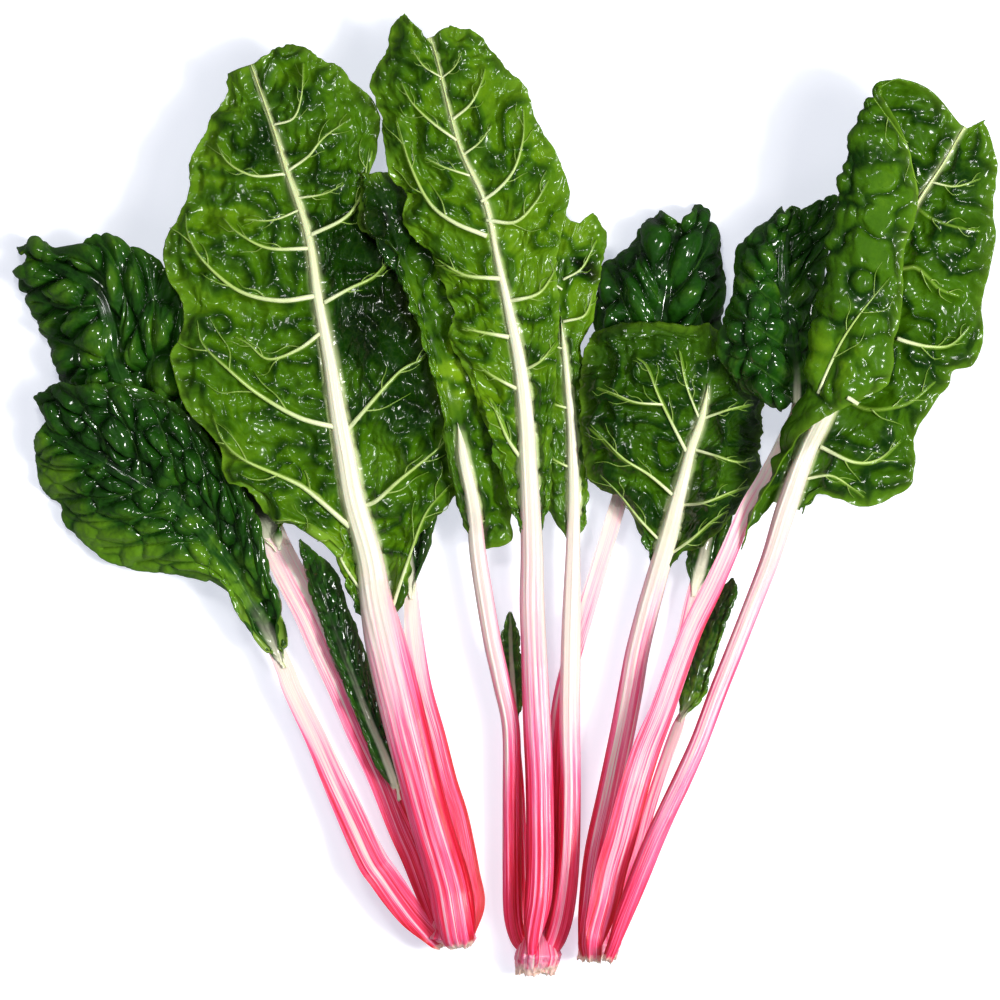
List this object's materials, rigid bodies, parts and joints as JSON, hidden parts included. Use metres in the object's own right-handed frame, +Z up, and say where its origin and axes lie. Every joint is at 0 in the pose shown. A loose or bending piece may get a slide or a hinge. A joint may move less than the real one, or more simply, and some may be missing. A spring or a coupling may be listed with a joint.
{
  "type": "swiss chard bunch",
  "caption": "Bunch of fresh pink-stalked Swiss chard lying flat: cut heads of long ribbed stalks fanned out into large, puckered dark green leaves.",
  "frame": {"origin": "middle of the bunch's outline, on the surface it lies on", "axes": "+Y from the cut crowns towards the leaf tips, +X to the right as seen from above, +Z up from the surface"},
  "size_m": [0.4435, 0.4325, 0.0666],
  "materials": {
    "stalk": "satin",
    "blade_upper": "gloss",
    "blade_underside": "satin",
    "crown": "matte"
  },
  "bodies": {
    "root": {"stalk_left_hidden": "stalk", "blade_left_hidden": "blade_upper", "stalk_left_inner": "stalk", "blade_left_inner": "blade_upper", "stalk_left_broad": "stalk", "blade_left_broad": "blade_upper", "stalk_left_outer": "stalk", "blade_left_outer": "blade_upper", "stalk_left_front": "stalk", "blade_left_front": "blade_underside", "stalk_middle_back": "stalk", "blade_middle_back": "blade_upper", "stalk_right_inner": "stalk", "blade_right_inner": "blade_upper", "stalk_right_small": "stalk", "blade_right_small": "blade_upper", "stalk_middle_sprig": "stalk", "blade_middle_sprig": "blade_upper", "stalk_middle_small": "stalk", "blade_middle_small": "blade_underside", "stalk_middle_side": "stalk", "blade_middle_side": "blade_underside", "stalk_right_low": "stalk", "blade_right_low": "blade_underside", "stalk_right_curled": "stalk", "blade_right_curled": "blade_upper", "stalk_right_tall": "stalk", "blade_right_tall": "blade_underside", "stalk_middle_front": "stalk", "blade_middle_front": "blade_underside", "crown_left": "crown", "crown_middle": "crown", "crown_right": "crown"}
  },
  "joints": []
}
